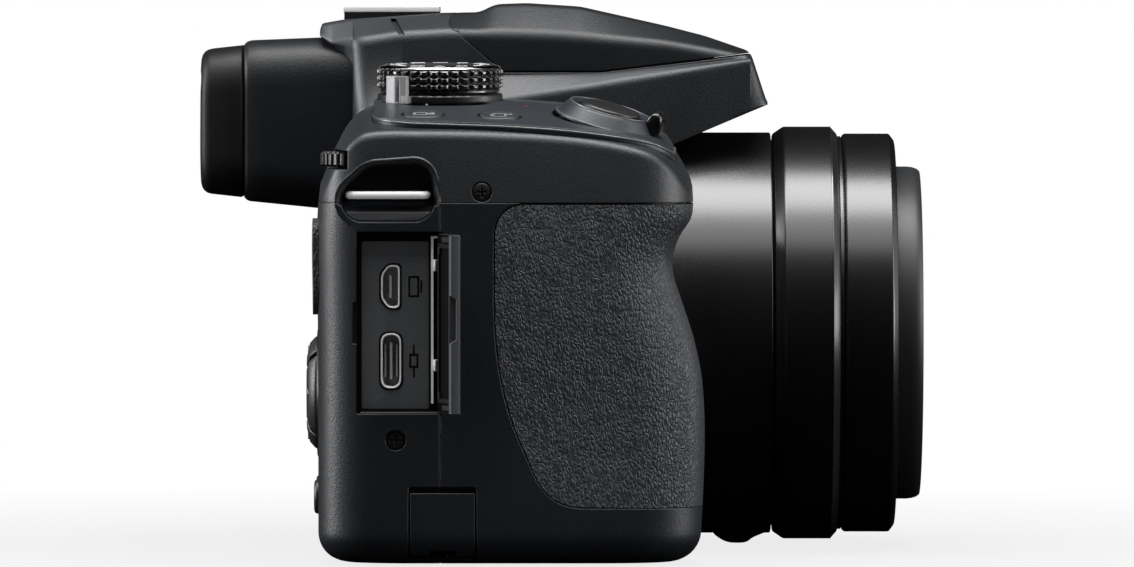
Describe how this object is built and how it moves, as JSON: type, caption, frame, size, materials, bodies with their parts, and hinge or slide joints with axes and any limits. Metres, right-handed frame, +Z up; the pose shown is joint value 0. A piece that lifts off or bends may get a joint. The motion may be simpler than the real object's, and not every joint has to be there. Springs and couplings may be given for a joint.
{
  "type": "bridge camera",
  "caption": "Superzoom bridge camera with a deep hand grip, telescoping zoom lens, electronic viewfinder, pop-up flash, hot shoe, control dials and hinged port doors.",
  "frame": {"origin": "centre of the tripod socket's mouth, on the base plane and under the optical axis", "axes": "+X forward along the optical axis, +Y to the camera's left, +Z up"},
  "size_m": [0.1241, 0.1417, 0.0936],
  "materials": {
    "cover_plastic": "fine matt grain",
    "deck_plastic": "fine matt grain",
    "grip_rubber": "leather grain",
    "soft_rubber": "matt",
    "barrel_black": "gloss",
    "barrel_grey": "satin",
    "metal_bright": "polished",
    "metal_brushed": "brushed",
    "brass": "turned",
    "knob_black": "satin",
    "button_plastic": "satin",
    "lever_grey": "satin",
    "lens_glass": "coated",
    "clear_window": "ribbed",
    "screen_glass": "gloss",
    "circuit": "solder mask",
    "cell_shell": "matt"
  },
  "bodies": {
    "camera": {"front_cover": "cover_plastic", "rear_cover": "cover_plastic", "top_cover": "cover_plastic", "deck_panel": "deck_plastic", "bottom_plate": "cover_plastic", "grip_rubber": "grip_rubber", "fixed_barrel": "barrel_black", "lens_collar": "barrel_black", "front_ring": "barrel_black", "image_sensor": "circuit", "main_board": "circuit", "battery": "cell_shell", "memory_card": "cell_shell", "lcd_module": "metal_brushed", "lcd_window": "screen_glass", "evf_housing": "cover_plastic", "eyecup": "soft_rubber", "eyepiece_lens": "lens_glass", "evf_display": "screen_glass", "hot_shoe": "metal_brushed", "shoe_base": "knob_black", "tripod_socket": "brass", "strap_lugs": "metal_bright", "port_panel": "knob_black", "hdmi_socket": "metal_brushed", "usb_socket": "metal_brushed", "case_screws": "metal_brushed", "flash_pin": "metal_brushed"},
    "mode_dial": {"mode_dial": "knob_black", "dial_cap": "knob_black"},
    "power_lever": {"power_lever": "lever_grey"},
    "zoom_lever": {"zoom_lever": "knob_black"},
    "shutter_button": {"shutter_button": "metal_brushed"},
    "video_button": {"video_button": "button_plastic"},
    "drive_button": {"drive_button": "button_plastic"},
    "rear_dial": {"rear_dial": "knob_black"},
    "flash_lid": {"flash_lid": "cover_plastic", "flash_window": "clear_window"},
    "flash_button": {"flash_button": "button_plastic"},
    "zoom_outer": {"zoom_barrel_outer": "barrel_black", "variator_group": "lens_glass"},
    "zoom_inner": {"zoom_barrel_inner": "barrel_grey", "front_trim_ring": "barrel_black", "front_element": "lens_glass"},
    "focus_group": {"focus_group": "lens_glass"},
    "port_door": {"port_door": "soft_rubber"},
    "dc_flap": {"dc_flap": "soft_rubber"},
    "battery_door": {"battery_door": "cover_plastic"},
    "battery_latch": {"battery_latch": "button_plastic"},
    "key_up": {"key_up": "button_plastic"},
    "key_down": {"key_down": "button_plastic"},
    "key_left": {"key_left": "button_plastic"},
    "key_right": {"key_right": "button_plastic"},
    "set_button": {"set_button": "button_plastic"},
    "play_button": {"play_button": "button_plastic"},
    "disp_button": {"disp_button": "button_plastic"},
    "delete_button": {"delete_button": "button_plastic"},
    "lock_button": {"lock_button": "button_plastic"},
    "diopter_dial": {"diopter_dial": "knob_black"}
  },
  "joints": [
    {"name": "mode_dial_turn", "type": "hinge", "parent": "camera", "child": "mode_dial", "pos_m": [-0.0095, -0.045, 0.0768], "axis": [0, -0.0349, 0.9994], "continuous": true},
    {"name": "power_lever_turn", "type": "hinge", "parent": "camera", "child": "power_lever", "pos_m": [-0.0095, -0.045, 0.0768], "axis": [0, -0.0349, 0.9994], "range_deg": [0, 30]},
    {"name": "zoom_lever_turn", "type": "hinge", "parent": "camera", "child": "zoom_lever", "pos_m": [0.0186, -0.06, 0.0733], "axis": [0.2563, -0.1392, 0.9565], "range_deg": [-20, 20], "stiffness_Nm_per_rad": 0.02},
    {"name": "shutter_press", "type": "slide", "parent": "camera", "child": "shutter_button", "axis": [-0.2563, 0.1392, -0.9565], "range_m": [0, 0.001], "stiffness_N_per_m": 400},
    {"name": "video_press", "type": "slide", "parent": "camera", "child": "video_button", "axis": [0, 0.1736, -0.9848], "range_m": [0, 0.0006], "stiffness_N_per_m": 400},
    {"name": "drive_press", "type": "slide", "parent": "camera", "child": "drive_button", "axis": [0, 0.1736, -0.9848], "range_m": [0, 0.0006], "stiffness_N_per_m": 400},
    {"name": "rear_dial_turn", "type": "hinge", "parent": "camera", "child": "rear_dial", "pos_m": [-0.0215, -0.058, 0.0675], "axis": [0, 0, 1], "continuous": true},
    {"name": "flash_lift", "type": "hinge", "parent": "camera", "child": "flash_lid", "pos_m": [-0.0065, 0, 0.0904], "axis": [0, -1, 0], "range_deg": [0, 50]},
    {"name": "flash_release", "type": "slide", "parent": "camera", "child": "flash_button", "axis": [0, -1, 0], "range_m": [0, 0.0008], "stiffness_N_per_m": 400},
    {"name": "zoom_outer_slide", "type": "slide", "parent": "camera", "child": "zoom_outer", "axis": [1, 0, 0], "range_m": [0, 0.028]},
    {"name": "zoom_inner_slide", "type": "slide", "parent": "zoom_outer", "child": "zoom_inner", "axis": [1, 0, 0], "range_m": [0, 0.028]},
    {"name": "focus_slide", "type": "slide", "parent": "camera", "child": "focus_group", "axis": [1, 0, 0], "range_m": [-0.003, 0.003]},
    {"name": "port_door_swing", "type": "hinge", "parent": "camera", "child": "port_door", "pos_m": [-0.0098, -0.0749, 0.0404], "axis": [0, 0, 1], "range_deg": [-106, 0]},
    {"name": "dc_flap_swing", "type": "hinge", "parent": "camera", "child": "dc_flap", "pos_m": [-0.0088, -0.07535, 0.01135], "axis": [-1, 0, 0], "range_deg": [0, 80]},
    {"name": "battery_door_swing", "type": "hinge", "parent": "camera", "child": "battery_door", "pos_m": [0.00875, -0.0488, 0.00125], "axis": [1, 0, 0], "range_deg": [0, 95]},
    {"name": "battery_latch_slide", "type": "slide", "parent": "battery_door", "child": "battery_latch", "axis": [0, 1, 0], "range_m": [0, 0.0026]},
    {"name": "key_up_press", "type": "slide", "parent": "camera", "child": "key_up", "axis": [1, 0, 0], "range_m": [0, 0.0008], "stiffness_N_per_m": 400},
    {"name": "key_down_press", "type": "slide", "parent": "camera", "child": "key_down", "axis": [1, 0, 0], "range_m": [0, 0.0008], "stiffness_N_per_m": 400},
    {"name": "key_left_press", "type": "slide", "parent": "camera", "child": "key_left", "axis": [1, 0, 0], "range_m": [0, 0.0008], "stiffness_N_per_m": 400},
    {"name": "key_right_press", "type": "slide", "parent": "camera", "child": "key_right", "axis": [1, 0, 0], "range_m": [0, 0.0008], "stiffness_N_per_m": 400},
    {"name": "set_press", "type": "slide", "parent": "camera", "child": "set_button", "axis": [1, 0, 0], "range_m": [0, 0.0008], "stiffness_N_per_m": 400},
    {"name": "play_press", "type": "slide", "parent": "camera", "child": "play_button", "axis": [1, 0, 0], "range_m": [0, 0.0008], "stiffness_N_per_m": 400},
    {"name": "disp_press", "type": "slide", "parent": "camera", "child": "disp_button", "axis": [1, 0, 0], "range_m": [0, 0.0008], "stiffness_N_per_m": 400},
    {"name": "delete_press", "type": "slide", "parent": "camera", "child": "delete_button", "axis": [1, 0, 0], "range_m": [0, 0.0008], "stiffness_N_per_m": 400},
    {"name": "lock_press", "type": "slide", "parent": "camera", "child": "lock_button", "axis": [1, 0, 0], "range_m": [0, 0.0008], "stiffness_N_per_m": 400},
    {"name": "diopter_turn", "type": "hinge", "parent": "camera", "child": "diopter_dial", "pos_m": [-0.036, 0.021, 0.071], "axis": [0, 1, 0], "range_deg": [-150, 150]}
  ],
  "couplings": [
    {"joint": "zoom_inner_slide", "follows": "zoom_outer_slide", "ratio": 1}
  ]
}
